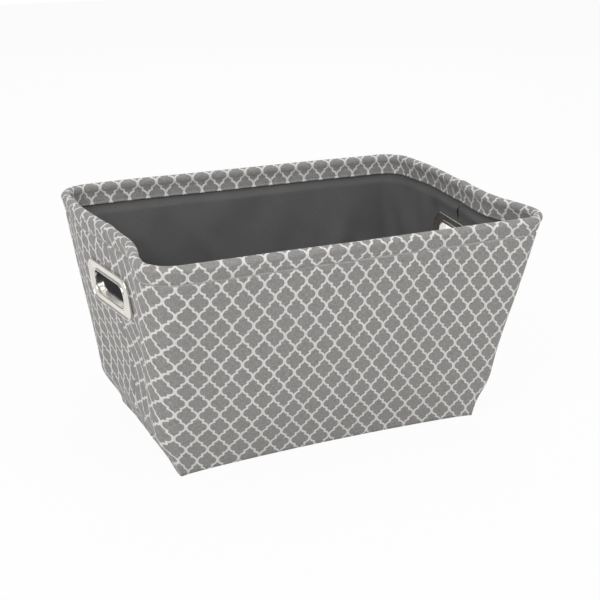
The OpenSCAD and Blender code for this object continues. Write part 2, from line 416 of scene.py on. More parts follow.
def corner_radius(z, shape):
    share = np.clip(np.asarray(z) / RIM_Z, 0, 1.1)
    return shape.foot_corner + (shape.top_corner - shape.foot_corner) * share ** 0.8


def half_stations(side, shape, step=None):
    """Stations round one half of the loop, from the left end's seam by the front (side -1), or
    from the right end's seam by the back (side 1): corner place m and outward direction n."""
    step = step or shape.station_step
    reach = WALL_TOP - shape.top_corner
    seam = shape.seam_offset / reach[1] * -side
    end_count = int(reach[1] * (1 + seam) / step)
    far_count = int(reach[1] * (1 + seam) / step)
    front_count = int(2 * reach[0] / step)
    corner_count = max(6, int(shape.top_corner * math.pi / 2 / step))
    rows = []
    for t in np.linspace(seam, -1, end_count + 1)[:-1]:
        rows.append((-1, t, -1, 0))
    for angle in np.linspace(math.pi, 1.5 * math.pi, corner_count + 1)[:-1]:
        rows.append((-1, -1, math.cos(angle), math.sin(angle)))
    for t in np.linspace(-1, 1, front_count + 1)[:-1]:
        rows.append((t, -1, 0, -1))
    for angle in np.linspace(1.5 * math.pi, 2 * math.pi, corner_count + 1)[:-1]:
        rows.append((1, -1, math.cos(angle), math.sin(angle)))
    for t in np.linspace(-1, seam, far_count + 1):
        rows.append((1, t, 1, 0))
    rows = np.array(rows)
    return rows if side < 0 else -rows


def loop_point(stations, z, depth, face_z, shape):
    """Points of the unsettled wall: one row per station, one column per outline point."""
    radius = corner_radius(face_z, shape)
    middle = half_size(face_z) - radius[:, None]
    m = stations[:, None, 0:2]
    n = stations[:, None, 2:4]
    flat = m * middle[None] + n * (radius - depth)[None, :, None]
    height = np.broadcast_to(z, flat.shape[:2])
    return np.concatenate([flat, height[..., None]], -1)


def settle(points, shape):
    """How far the cloth has moved from the plain shape, the same for every ply at a place."""
    x, y, z = points[..., 0], points[..., 1], points[..., 2]
    up = np.clip(z / RIM_Z, 0, 1)
    half = half_size(np.clip(z, 0, RIM_Z))
    hx, hy = half[..., 0], half[..., 1]
    move = np.zeros_like(points)
    low = smooth(1 - z / (95 * MM))
    window = hy * 0.985 - 26 * MM * (1 - low)
    on_end = smooth((window - np.abs(y)) / (window - HOLD_LENGTH * 0.52))
    is_end = np.abs(x) > hx * 0.5
    hollow = shape.end_hollow_top + (shape.end_hollow_middle - shape.end_hollow_top) * bump_at(
        z, 75 * MM, 45 * MM)
    turn = shape.hold_turn * smooth((CAD_HIGH[2] + 25 * MM - z) / (45 * MM)) * smooth(z / (110 * MM))
    hollow = hollow - np.clip(y, -75 * MM, 75 * MM) * turn
    move[..., 0] -= np.sign(x) * hollow * on_end * is_end
    on_long = np.clip(1 - (x / hx) ** 2, 0, 1) ** 1.5
    front_in = shape.front_hollow * smooth(1 - z / (60 * MM))
    belly = -1.2 * MM * np.sin(math.pi * up)
    is_long = np.abs(y) > hy * 0.5
    move[..., 1] -= np.sign(y) * (front_in + belly) * on_long * is_long
    # the ends' foot tucks under, and the four lower corners stay out as points
    across, along = np.clip(np.abs(x) / hx, 0, 1), np.clip(np.abs(y) / hy, 0, 1)
    tuck = smooth(1 - z / (42 * MM)) * across ** 10
    move[..., 0] -= np.sign(x) * tuck * (shape.foot_tuck - 3 * MM * on_end)
    move[..., 1] += np.sign(y) * 4 * MM * smooth(1 - z / (22 * MM)) * across ** 8 * along ** 8
    # the soft corners
    corner = across ** 8 * along ** 8
    soft = bump_at(z, 78 * MM, 48 * MM) * corner * 5 * MM
    move[..., 0] -= np.sign(x) * soft * 0.75
    move[..., 1] -= np.sign(y) * soft * 0.65
    # the rim's rise and fall
    back_left = bump_at(x, -105 * MM, 70 * MM) * (y > 0) * smooth(y / hy)
    back_right = bump_at(x, 150 * MM, 45 * MM) * (y > 0) * smooth((y / hy - 0.3) / 0.7)
    move[..., 2] += smooth((up - 0.5) * 2) * (0.9 * MM * back_left - 0.8 * MM * back_right)
    move[..., 2] += smooth((up - 0.6) * 2.5) * 1.0 * MM * bump_at(y, shape.seam_offset, 7 * MM) * is_end * on_end
    # long slack waves in the cloth
    wave = (np.sin(x * 31 + z * 17 + 0.6) * np.sin(z * 29 - y * 23 + 1.1)
            + 0.6 * np.sin(x * 67 - z * 43 + 2.0) * np.sin(y * 59 + z * 37))
    slack = 0.7 * MM * wave * smooth(up * 5)
    near_hold = is_end * smooth(1 - (np.abs(y) - HOLD_LENGTH / 2) / (14 * MM)) * smooth(
        1 - (np.abs(z - HOLD_Z) - HOLD_HEIGHT / 2) / (14 * MM))
    slack = slack * (1 - near_hold)
    move[..., 0] += np.sign(x) * slack * is_end * on_end
    move[..., 1] += np.sign(y) * slack * on_long * is_long
    return move


def wall_points(stations, outline, shape):
    """Settled points for an outline of [depth, z, face z], in metres."""
    outline = np.asarray(outline)
    z, depth, face_z = outline[:, 1], outline[:, 0], outline[:, 2]
    points = loop_point(stations, z, depth, face_z, shape)
    face = loop_point(stations, z, np.zeros_like(z), face_z, shape)
    return points + settle(face, shape)


def flat_rulings(side, shape):
    """Unrolls one half of the wall: where each station's foot and rim lie on the flat cloth."""
    stations = half_stations(side, shape) * -side
    z = np.array([0.0, RIM_Z])
    ends = loop_point(stations, z, np.zeros(2), z, shape)
    foot, rim = ends[:, 0], ends[:, 1]
    middle = int(np.argmin(np.abs(foot[:, 0]) + (foot[:, 1] > 0)))
    flat_foot = np.zeros((len(foot), 2))
    flat_rim = np.zeros((len(foot), 2))
    flat_rim[middle] = (0, WALL_LENGTH)

    def third(p, q, to_p, to_q, side):
        gap = q - p
        length = np.linalg.norm(gap)
        along = (to_p ** 2 - to_q ** 2 + length ** 2) / (2 * length)
        off = math.sqrt(max(0.0, to_p ** 2 - along ** 2))
        unit = gap / length
        return p + unit * along + np.array([unit[1], -unit[0]]) * off * side

    for direction in (1, -1):
        i = middle
        while 0 <= i + direction < len(foot):
            j = i + direction
            flat_foot[j] = third(flat_foot[i], flat_rim[i], np.linalg.norm(foot[j] - foot[i]),
                                 np.linalg.norm(foot[j] - rim[i]), direction)
            flat_rim[j] = third(flat_foot[j], flat_rim[i], np.linalg.norm(rim[j] - foot[j]),
                                np.linalg.norm(rim[j] - rim[i]), direction)
            i = j
    shift = foot[middle, 0]
    flat_foot[:, 0] += shift
    flat_rim[:, 0] += shift
    return flat_foot, flat_rim


def cloth_places(side, shape, travel):
    """Flat cloth place of each station at each travel up the wall, roll and hem, in metres."""
    foot, rim = flat_rulings(side, shape)
    along = rim - foot
    length = np.linalg.norm(along, axis=1)
    share = np.minimum(travel[None] / WALL_LENGTH, 1) * length[:, None]
    beyond = np.maximum(travel[None] - WALL_LENGTH, 0)
    unit = along / length[:, None]
    return foot[:, None] + unit[:, None] * (share + beyond)[..., None]


def print_places(flat, side, shape, cells):
    """Place in the print of each flat place: the cloth is cut a little off the grain."""
    x = flat[..., 0] * 10
    s = (flat[..., 1] - 0.1) * 10
    xc = np.clip(x, -1.75, 1.75)
    column = 0.486 + 10.483 * x + 1.253 * s + 0.387 * xc * s - 0.115 * xc ** 3 - 0.127 * xc ** 2 * s
    row = -0.262 + 0.469 * x + 7.333 * s - 0.079 * xc * s + 0.129 * xc ** 3 + 0.152 * xc ** 2 * s
    if side > 0:
        column, row = 10.483 * x + 0.62, 7.333 * s + 0.55
    return np.stack([column / 2 * cells.cell_width, (row / 2 - 0.5) * cells.cell_height], -1)


# ---------------------------------------------------------------- mesh helpers


def collection():
    name = "Fabric storage bin"
    found = bpy.data.collections.get(name)
    if not found:
        found = bpy.data.collections.new(name)
        bpy.context.scene.collection.children.link(found)
    return found


def make_piece(name, points, faces, material, body="bin", cloth=None, smooth_faces=True):
    mesh = bpy.data.meshes.new(name)
    mesh.from_pydata([tuple(map(float, p)) for p in points], [], [tuple(map(int, f)) for f in faces])
    mesh.validate()
    bm = bmesh.new()
    bm.from_mesh(mesh)
    bmesh.ops.recalc_face_normals(bm, faces=bm.faces)
    bm.to_mesh(mesh)
    bm.free()
    if cloth is not None:
        layer = mesh.uv_layers.new(name="cloth")
        index = np.empty(len(mesh.loops), np.int32)
        mesh.loops.foreach_get("vertex_index", index)
        layer.data.foreach_set("uv", np.asarray(cloth, float)[index].astype(np.float32).ravel())
    if smooth_faces:
        mesh.shade_smooth()
    mesh.materials.append(material)
    piece = bpy.data.objects.new(name, mesh)
    collection().objects.link(piece)
    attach(piece, body)
    return piece


def swept_faces(rows, columns, closed_rows=False, offset=0):
    """Quads of a closed outline carried along rows, with its two ends closed by quads that pair
    the outer and the inner points."""
    faces = []
    count = rows if closed_rows else rows - 1
    for i in range(count):
        a, b = i * columns, ((i + 1) % rows) * columns
        for j in range(columns):
            k = (j + 1) % columns
            faces.append((a + j, a + k, b + k, b + j))
    if not closed_rows:
        last = (rows - 1) * columns
        for j in range(columns // 2 - 1):
            faces.append((j, columns - 1 - j, columns - 2 - j, j + 1))
            faces.append((last + j, last + j + 1, last + columns - 2 - j, last + columns - 1 - j))
    return [tuple(offset + v for v in f) for f in faces]


def cut(piece, cutters):
    """Cuts the cutter shapes out of a piece for good."""
    for cutter in cutters:
        change = piece.modifiers.new("cut", "BOOLEAN")
        change.operation = "DIFFERENCE"
        change.solver = "EXACT"
        change.object = cutter
    graph = bpy.context.evaluated_depsgraph_get()
    graph.update()
    mesh = bpy.data.meshes.new_from_object(piece.evaluated_get(graph))
    piece.modifiers.clear()
    old = piece.data
    piece.data = mesh
    bpy.data.meshes.remove(old)
    for cutter in cutters:
        mesh = cutter.data
        bpy.data.objects.remove(cutter)
        bpy.data.meshes.remove(mesh)
    return piece


def rounded_outline(width, height, radius, count=12, straight=6):
    """Points round a rounded rectangle, evenly shared between its corners and sides."""
    points = []
    for sx, sy, start in ((1, 1, 0), (-1, 1, 90), (-1, -1, 180), (1, -1, 270)):
        for t in np.linspace(start, start + 90, count + 1):
            points.append((sx * (width / 2 - radius) + radius * math.cos(math.radians(t)),
                           sy * (height / 2 - radius) + radius * math.sin(math.radians(t)),
                           math.cos(math.radians(t)), math.sin(math.radians(t))))
        nxt = {(1, 1): (-1, 1), (-1, 1): (-1, -1), (-1, -1): (1, -1), (1, -1): (1, 1)}[(sx, sy)]
        start_point = np.array(points[-1])
        angle = math.radians(start + 90)
        end_point = np.array([nxt[0] * (width / 2 - radius) + radius * math.cos(angle),
                              nxt[1] * (height / 2 - radius) + radius * math.sin(angle),
                              math.cos(angle), math.sin(angle)])
        for k in range(1, straight):
            points.append(tuple(start_point + (end_point - start_point) * k / straight))
    return np.array(points)


def hold_matrix(side, shape):
    """From a hand hold's own axes (along, up the wall, out) to the bin."""
    z = HOLD_Z
    x = half_size(np.array(z))[0] - shape.end_hollow_top
    turn = math.atan(shape.hold_turn)
    flat_out = Vector((side * math.cos(turn), -math.sin(turn), 0))
    out = flat_out * math.cos(END_LEAN) - Vector((0, 0, math.sin(END_LEAN)))
    up = flat_out * math.sin(END_LEAN) + Vector((0, 0, math.cos(END_LEAN)))
    along = up.cross(out)
    made = Matrix((along, up, out)).transposed().to_4x4()
    made.translation = Vector((side * x, 0, z))
    return made


def place_points(matrix, points):
    m = np.array(matrix)
    return points @ m[:3, :3].T + m[:3, 3]


def hold_cutter(side, shape, width, height, radius):
    outline = rounded_outline(width, height, radius)
    points = []
    for depth in (-30 * MM, 30 * MM):
        points += [(p[0], p[1], depth) for p in outline]
    n = len(outline)
    faces = [tuple(range(n))[::-1], tuple(range(n, 2 * n))]
    faces += [(i, (i + 1) % n, n + (i + 1) % n, n + i) for i in range(n)]
    mesh = bpy.data.meshes.new("cutter")
    mesh.from_pydata([tuple(p) for p in place_points(hold_matrix(side, shape), np.array(points))], [],
                     faces)
    cutter = bpy.data.objects.new("cutter", mesh)
    collection().objects.link(cutter)
    return cutter


def offset_path(path, thickness):
    """The other side of a ply whose path is [depth, z, face z]: moved towards the wall's inside
    on the outer wall, and round the roll with it."""
    path = np.asarray(path, float)
    tangent = np.gradient(path[:, :2], axis=0)
    tangent /= np.linalg.norm(tangent, axis=1)[:, None]
    normal = np.stack([tangent[:, 1], -tangent[:, 0]], -1)
    other = path.copy()
    other[:, :2] += normal * thickness
    return other


def canvas_path():
    """The canvas's printed side: up the wall, over the rolled rim and down the hem."""
    rows = [(0, z) for z in np.linspace(0, STITCH_Z / MM - 5, 66)]
    z = STITCH_Z / MM
    rows += [(0.05, z - 3.5), (0.3, z - 1.9), (1.0, z - 0.9), (2.1, z), (1.0, z + 0.9), (0.25, z + 2.0),
             (-0.1, z + 4), (-0.35, z + 6.5), (-0.5, z + 8.7)]
    for angle in np.arange(204, -31, -13):
        a = math.radians(angle)
        rows.append((ROLL_DEPTH / MM + ROLL_RADIUS / MM * math.cos(a), RIM_Z / MM + ROLL_RADIUS / MM * math.sin(a)))
    top = CAD_HIGH[2] / MM
    rows += [(6.3, top - 8.6), (5.6, top - 10.4), (5.1, top - 12.4), (4.8, top - 14.5), (4.55, top - 16),
             (4.25, top - 17), (4.5, top - 18), (4.6, top - 19.2), (4.5, top - 20)]
    path = np.array(rows) * MM
    return np.column_stack([path, np.minimum(path[:, 1], RIM_Z)])


def sheet_facts(shape, low, high):
    """Cut size of a wall ply between two travels up the cloth: its bounding size and its area."""
    places = cloth_places(-1, shape, np.array([low, high]))
    size = places.reshape(-1, 2).max(0) - places.reshape(-1, 2).min(0)
    loop = np.concatenate([places[:, 0], places[::-1, 1]])
    x, y = loop[:, 0], loop[:, 1]
    area = abs(np.dot(x, np.roll(y, -1)) - np.dot(y, np.roll(x, -1))) / 2
    return (float(size[0]), float(size[1])), float(area)


def wall_ply(name, side, path, thickness, material, shape, cells=None, step=None, fold=None):
    stations = half_stations(side, shape, step)
    other = offset_path(path, thickness)
    outline = np.concatenate([path, other[::-1]])
    points = wall_points(stations, outline, shape)
    if fold is not None:
        points = fold(points, stations, outline)
    travel = np.concatenate([[0], np.cumsum(np.linalg.norm(np.diff(path[:, :2], axis=0), axis=1))])
    travel = travel * (WALL_LENGTH / RIM_Z)
    travel = np.concatenate([travel, travel[::-1]])
    flat = cloth_places(side, shape, travel) if step is None else np.stack(
        np.meshgrid(np.arange(len(stations)) * (step or 0), travel, indexing="ij"), -1)
    if cells is not None:
        flat = print_places(flat, side, shape, cells)
    rows, columns = points.shape[:2]
    return make_piece(name, points.reshape(-1, 3), swept_faces(rows, columns), material,
                      cloth=flat.reshape(-1, 2))


def stitch_row(name, path, normals, material, length=3.0 * MM, gap=1.0 * MM, radius=0.3 * MM,
               sink=0.1 * MM):
    """A row of sewn stitches lying along a path of points with outward normals."""
    path = np.asarray(path)
    travel = np.concatenate([[0], np.cumsum(np.linalg.norm(np.diff(path, axis=0), axis=1))])
    count = int(travel[-1] / (length + gap))
    points, faces = [], []
    turn = np.linspace(0, 2 * math.pi, 7)[:-1]
    rings = ((0.0, 0.25, -1.2), (0.12, 0.85, -0.2), (0.35, 1.0, 0.25), (0.65, 1.0, 0.25), (0.88, 0.85, -0.2),
             (1.0, 0.25, -1.2))
    for k in range(count):
        start = (k + 0.5) * travel[-1] / count - length / 2
        base = len(points)
        for share, swell, rise in rings:
            t = start + share * length
            centre = np.array([np.interp(t, travel, path[:, i]) for i in range(3)])
            out = np.array([np.interp(t, travel, normals[:, i]) for i in range(3)])
            out /= np.linalg.norm(out)
            ahead = np.array([np.interp(t + MM, travel, path[:, i]) for i in range(3)]) - centre
            if np.linalg.norm(ahead) < 1e-7:
                ahead = centre - np.array([np.interp(t - MM, travel, path[:, i]) for i in range(3)])
            across = np.cross(ahead, out)
            across /= np.linalg.norm(across)
            middle = centre + out * (rise * radius - sink)
            for a in turn:
                points.append(middle + (across * math.cos(a) + out * math.sin(a) * 0.8) * radius * swell)
        for r in range(len(rings) - 1):
            for j in range(6):
                a, b = base + r * 6 + j, base + r * 6 + (j + 1) % 6
                faces.append((a, b, b + 6, a + 6))
        faces.append(tuple(base + j for j in range(6))[::-1])
        faces.append(tuple(base + (len(rings) - 1) * 6 + j for j in range(6)))
    return make_piece(name, points, faces, material)


def wall_line(side, z, depth, shape, face_z=None):
    """Points and outward normals along one half of the loop at one height."""
    stations = half_stations(side, shape)
    outline = np.array([(depth, z, z if face_z is None else face_z)])
    points = wall_points(stations, outline, shape)[:, 0]
    normals = np.column_stack([stations[:, 2:4], np.zeros(len(stations))])
    return points, normals


# ---------------------------------------------------------------- operators


class BIN_OT_canvas(bpy.types.Operator):
    """Printed canvas: two wall panels with their rolled rim and hem, and the base"""

    bl_idname = "fabric_bin.canvas"
    bl_label = "Canvas panels"

    def execute(self, context):
        shape, cells = context.scene.bin_shape, context.scene.bin_print
        material = printed_canvas(cells)
        path = canvas_path()
        flat, area = sheet_facts(shape, 0, WALL_LENGTH + 32 * MM)
        for side, word in ((-1, "front"), (1, "back")):
            stations = half_stations(side, shape)
            seam_gap = np.minimum(np.arange(len(stations)), np.arange(len(stations))[::-1]) * shape.station_step
            rng = np.random.default_rng(context.scene.bin_trim.seed + side)
            pucker = np.convolve(rng.normal(size=len(stations)), [0.25, 0.5, 0.25], "same")

            def fold(points, rows, outline, seam_gap=seam_gap, pucker=pucker):
                """Draws the seam edges in and puckers the cloth along its stitches."""
                n = np.column_stack([rows[:, 2:4], np.zeros(len(rows))])[:, None]
                z = outline[None, :, 1]
                inner = outline[None, :, 0] > ROLL_DEPTH
                dip = 0.9 * MM * np.exp(-(seam_gap[:, None] / (1.5 * MM)) ** 2)
                swell = -0.5 * MM * np.exp(-((seam_gap[:, None] - 5 * MM) / (3 * MM)) ** 2)
                draw = (dip + swell) * np.where(inner, -0.5, 1.0)
                crease = bump_at(z, STITCH_Z, 3.0 * MM) * pucker[:, None] * 0.28 * MM
                roll = bump_at(z, RIM_Z, 6 * MM) * np.interp(
                    np.arange(len(rows)), np.arange(0, len(rows), 9), pucker[::9])[:, None] * 0.3 * MM
                return points - n * (draw + crease + roll)[..., None]

            piece = wall_ply(f"canvas_{word}_panel", side, path, CANVAS, material,
                             shape, cells, fold=fold)
            cut(piece, [hold_cutter(end, shape, SLOT_LENGTH + 2.8 * MM, SLOT_HEIGHT + 2.8 * MM,
                                    SLOT_CORNER + 1.4 * MM) for end in (-1, 1)])
            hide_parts(f"outer_{word}_panel")
        base_sheet(context, "canvas_base_panel", 1.4 * MM, 0.0, CANVAS, material,
                   "outer_base_panel", cells)
        return {"FINISHED"}


def base_sheet(context, name, depth, z, thickness, material, node, cells=None):
    """A flat ply inside the walls' foot, a little slack between its edges."""
    shape = context.scene.bin_shape
    loop = np.concatenate([wall_line(side, 1 * MM, depth, shape)[0][:-1] for side in (-1, 1)])
    rings = np.concatenate([[1.0], np.linspace(0.985, 0.04, 26)])
    points, faces = [], []
    centre = loop.mean(0)
    for layer in (0, 1):
        for share in rings:
            ring = centre + (loop - centre) * share
            sag = 0.25 * MM * np.sin(ring[:, 0] * 41) * np.sin(ring[:, 1] * 53) * (1 - share ** 8)
            ring[:, 2] = z + layer * thickness + np.maximum(sag, 0) + 0.1 * MM
            points += list(ring)
        points.append(np.array([centre[0], centre[1], z + layer * thickness + 0.1 * MM]))
    n = len(loop)
    size = len(rings) * n + 1
    for layer in (0, 1):
        start = layer * size
        for r in range(len(rings) - 1):
            for j in range(n):
                k = (j + 1) % n
                a = start + r * n
                faces.append((a + j, a + k, a + n + k, a + n + j))
        last = start + (len(rings) - 1) * n
        faces += [(last + j, last + (j + 1) % n, start + size - 1) for j in range(n)]
    faces += [(j, (j + 1) % n, size + (j + 1) % n, size + j) for j in range(n)]
    points = np.array(points)
    flat = points[:, :2].copy()
    piece = make_piece(name, points, faces, material, cloth=flat)
    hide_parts(node)
    return piece


class BIN_OT_core(bpy.types.Operator):
    """Felt interlining, rim wire, its crimped sleeve and the backing sheets"""

    bl_idname = "fabric_bin.core"
    bl_label = "Felt and rim wire"

    def execute(self, context):
        shape, trim = context.scene.bin_shape, context.scene.bin_trim
        material = felt(trim)
        bore = WIRE_RADIUS + 0.35 * MM
        thick = FELT[1] - FELT[0]
        rows = [(FELT[0], z) for z in np.linspace(1.6 * MM, RIM_Z - 7.5 * MM, 40)]
        for angle in np.arange(205, -1, -15):
            a = math.radians(angle)
            rows.append((ROLL_DEPTH + (bore + thick) * math.cos(a), RIM_Z + (bore + thick) * math.sin(a)))
        path = np.array(rows)
        path = np.column_stack([path, np.minimum(path[:, 1], RIM_Z)])
        flat, area = sheet_facts(shape, 1 * MM, WALL_LENGTH + 8 * MM)
        for side, word in ((-1, "front"), (1, "back")):
            piece = wall_ply(f"felt_{word}_interlining", side, path, thick, material,
                             shape, step=5 * MM)
            cut(piece, [hold_cutter(end, shape, HOLD_LENGTH + 8.8 * MM, HOLD_HEIGHT + 8.8 * MM,
                                    FRAME_CORNER + 4.4 * MM) for end in (-1, 1)])
            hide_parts(f"{word}_interlining")
        loop = np.concatenate([wall_line(side, RIM_Z, ROLL_DEPTH, shape, RIM_Z)[0][:-1] for side in (-1, 1)])
        metal = plated_metal(trim, "galvanised wire", 0.32, 0.8)
        hoop = tube("rim_wire_hoop", loop, WIRE_RADIUS, metal, closed=True)
        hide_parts("rim_wire")
        low, high = (np.array(c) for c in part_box("rim_wire_ferrule"))
        middle = (low + high) / 2
        near = np.argsort(np.linalg.norm(loop - middle, axis=1))[:11]
        stretch = loop[np.sort(near)]
        sleeve = tube("crimp_sleeve", stretch, WIRE_RADIUS + 0.6 * MM, plated_metal(trim, "crimp metal", 0.25, 0.9),
                      dents=True)
        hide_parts("rim_wire_ferrule")
        stiff = backing(trim)
        for side, word in ((-1, "left"), (1, "right")):
            depth = (FELT[0] + FELT[1]) / 2 * math.cos(END_LEAN)
            half = 0.5 * MM
            profile = [(0, 1.6 * MM, -depth - half), (0, 1.6 * MM, -depth + half * 0.8), (0, 1.8 * MM, -depth + half),
                       (0.5, 0, -depth + half), (1, 3.8 * MM, -depth + half), (1, 4 * MM, -depth + half * 0.8),
                       (1, 4 * MM, -depth - half * 0.8), (1, 3.8 * MM, -depth - half), (0.5, 0, -depth - half)]
            sheet = ring_piece(f"{word}_backing_sheet", side, profile, stiff, shape)
            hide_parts(f"{word}_handle_backing")
        return {"FINISHED"}


def tube(name, path, radius, material, closed=False, dents=False):
    """A round bar along points; with dents, a crimped sleeve with pinched bands."""
    path = np.asarray(path)
    ahead = np.roll(path, -1, 0) - np.roll(path, 1, 0)
    if not closed:
        ahead[0], ahead[-1] = path[1] - path[0], path[-1] - path[-2]
    ahead /= np.linalg.norm(ahead, axis=1)[:, None]
    up = np.array([0, 0, 1.0])
    across = np.cross(ahead, up)
    across /= np.linalg.norm(across, axis=1)[:, None]
    lift = np.cross(across, ahead)
    sides = 12
    turn = np.linspace(0, 2 * math.pi, sides + 1)[:-1]
    points = []
    for i, centre in enumerate(path):
        squeeze = 1.0
        if dents:
            squeeze = 0.86 if i % 4 == 2 else 1.0
        for a in turn:
            points.append(centre + (across[i] * math.cos(a) + lift[i] * math.sin(a)) * radius * squeeze)
    rows = len(path)
    faces = []
    for i in range(rows if closed else rows - 1):
        a, b = i * sides, ((i + 1) % rows) * sides
        faces += [(a + j, a + (j + 1) % sides, b + (j + 1) % sides, b + j) for j in range(sides)]
    if not closed:
        faces.append(tuple(range(sides))[::-1])
        faces.append(tuple((rows - 1) * sides + j for j in range(sides)))
    return make_piece(name, points, faces, material)


def ring_piece(name, side, profile, material, shape, tabs=None):
    """A rounded ring: its profile points are [share from slot to frame edge, offset, height]."""
    inner = rounded_outline(SLOT_LENGTH, SLOT_HEIGHT, SLOT_CORNER)
    outer = rounded_outline(HOLD_LENGTH, HOLD_HEIGHT, FRAME_CORNER)
    rows = []
    for i in range(len(inner)):
        for share, offset, height in profile:
            place = inner[i] + (outer[i] - inner[i]) * share
            rows.append((place[0] + place[2] * offset, place[1] + place[3] * offset, height))
    points = place_points(hold_matrix(side, shape), np.array(rows))
    return make_piece(name, points, swept_faces(len(inner), len(profile), closed_rows=True), material)


class BIN_OT_lining(bpy.types.Operator):
    """Charcoal lining with its folds, and its base"""

    bl_idname = "fabric_bin.lining"
    bl_label = "Lining"

    def execute(self, context):
        shape, trim = context.scene.bin_shape, context.scene.bin_trim
        material = plain_lining(trim)
        z = np.concatenate([np.linspace(2 * MM, 160 * MM, 60), np.linspace(162 * MM, HEM_Z, 20),
                            np.linspace(HEM_Z + MM, LINING_TOP, 5)])
        path = np.column_stack([np.full(len(z), LINING[0]), z, z])
        flat, area = sheet_facts(shape, 1 * MM, WALL_LENGTH - 6 * MM)

        def fold(points, rows, outline):
            n = np.column_stack([rows[:, 2:4], np.zeros(len(rows))])[:, None]
            x, y, height = points[..., 0], points[..., 1], points[..., 2]
            tuck = smooth((HEM_Z - 3.4 * MM - outline[None, :, 1]) / (4.2 * MM))
            foot = smooth(outline[None, :, 1] / (30 * MM))
            round_bin = np.arange(len(rows))[:, None] * shape.station_step
            side = 1 if rows[len(rows) // 2, 3] > 0 else -1
            rng = np.random.default_rng(trim.seed + 20 + 3 * side)
            folds = np.zeros(points.shape[:2])
            places = (np.arange(FOLD_COUNT) + 0.5) / FOLD_COUNT * round_bin[-1, 0]
            for place in places:
                lean = math.radians(rng.uniform(20, 62)) * rng.choice([-1, 1])
                away = round_bin - place - rng.uniform(-12, 12) * MM
                rise = height - rng.uniform(75, 190) * MM
                off = away * math.cos(lean) + rise * math.sin(lean)
                along = rise * math.cos(lean) - away * math.sin(lean)
                width, reach = rng.uniform(10, 26) * MM, rng.uniform(35, 85) * MM
                folds += rng.uniform(0.35, 1.0) * np.exp(-(off / width) ** 2 - (along / reach) ** 2)
            slack = cloth_noise(points, 9.0, 0.0)
            amount = 3.2 * MM + trim.fold_depth * (0.6 * np.minimum(folds, 1.4) + 0.2 * slack)
            is_end = np.abs(rows[:, None, 2]) > 0.9
            near_hold = is_end * smooth(1 - (np.abs(y) - HOLD_LENGTH / 2) / (16 * MM)) * smooth(
                1 - (np.abs(height - HOLD_Z) - HOLD_HEIGHT / 2) / (14 * MM))
            amount = np.maximum(amount, 0.2 * MM) * tuck * foot * (1 - near_hold)
            return points - n * amount[..., None]

        for side, word in ((-1, "front"), (1, "back")):
            piece = wall_ply(f"lining_{word}_sheet", side, path, LINING[1] - LINING[0], material,
                             shape, fold=fold)
            cut(piece, [hold_cutter(end, shape, SLOT_LENGTH + 2.8 * MM, SLOT_HEIGHT + 2.8 * MM,
                                    SLOT_CORNER + 1.4 * MM) for end in (-1, 1)])
            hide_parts(f"lining_{word}_panel")
        base_sheet(context, "lining_base_sheet", 3.6 * MM, 1.2 * MM, 0.6 * MM, material,
                   "lining_base_panel")
        return {"FINISHED"}


class BIN_OT_stitching(bpy.types.Operator):
    """Hem stitches inside and out, and the base seam's"""

    bl_idname = "fabric_bin.stitching"
    bl_label = "Stitching"

    def execute(self, context):
        shape, trim = context.scene.bin_shape, context.scene.bin_trim
        thread = sewing_thread(trim, "grey thread")
        for side, word in ((-1, "front"), (1, "back")):
            path, normals = wall_line(side, STITCH_Z, 1.75 * MM, shape)
            stitch_row(f"hem_stitches_{word}_outside", path, normals, thread)
            path, normals = wall_line(side, STITCH_Z, 4.25 * MM, shape)
            stitch_row(f"hem_stitches_{word}_inside", path, -normals, thread)
            path, normals = wall_line(side, 2.0 * MM, 0.0 * MM, shape)
            stitch_row(f"base_stitches_{word}", path, normals, thread, radius=0.22 * MM,
                       sink=0.12 * MM)
        return {"FINISHED"}


class BIN_OT_hand_holds(bpy.types.Operator):
    """Metal frames of both hand holds, inside and out"""

    bl_idname = "fabric_bin.hand_holds"
    bl_label = "Hand holds"

    def execute(self, context):
        shape, trim = context.scene.bin_shape, context.scene.bin_trim
        metal = plated_metal(trim, "polished nickel")
        outer = [(0, 0, -5.3), (0, 0, -3), (0, 0, 0), (0, 0, 1.5), (0, 0.12, 2.2), (0, 0.45, 2.68), (0, 0.85, 2.8),
                 (0, 1.25, 2.62), (0, 1.55, 2.1), (0, 1.9, 1.6), (0, 2.5, 1.3), (0.4, 0, 1.2), (0.6, 0, 1.2),
                 (1, -2.5, 1.3), (1, -1.9, 1.6), (1, -1.55, 2.1), (1, -1.25, 2.62), (1, -0.85, 2.8), (1, -0.4, 2.68),
                 (1, -0.1, 2.2), (1, 0, 1.5), (1, 0, 0.4), (1, -0.2, 0.2), (0.5, 0, 0.2), (0, 1.2, 0.2), (0, 1.0, 0.05),
                 (0, 1.0, -2), (0, 1.0, -4.5), (0, 1.15, -4.72), (0, 1.9, -4.78), (0, 2.35, -4.85), (0, 2.6, -5.15),
                 (0, 2.4, -5.5), (0, 1.8, -5.68), (0, 0.8, -5.68), (0, 0.25, -5.6)]
        inner = [(0, 1.12, -3.62), (0, 1.12, -4.5), (0, 1.3, -4.6), (0.4, 0, -4.6), (0.6, 0, -4.6), (1, -2.5, -4.65),
                 (1, -1.8, -5.0), (1, -1.5, -5.6), (1, -1.1, -6.05), (1, -0.8, -6.18), (1, -0.4, -6.05),
                 (1, -0.1, -5.6), (1, 0, -5.0), (1, 0, -3.8), (1, -0.15, -3.6), (0.5, 0, -3.6), (0, 1.3, -3.6)]
        for side, word in ((-1, "left"), (1, "right")):
            for label, profile in (("outer", outer), ("inner", inner)):
                rows = [(share, offset * MM, height * MM) for share, offset, height in profile]
                piece = ring_piece(f"{word}_hold_{label}_frame", side, rows, metal, shape)
                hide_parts(f"{word}_handle_{label}_frame")
        return {"FINISHED"}


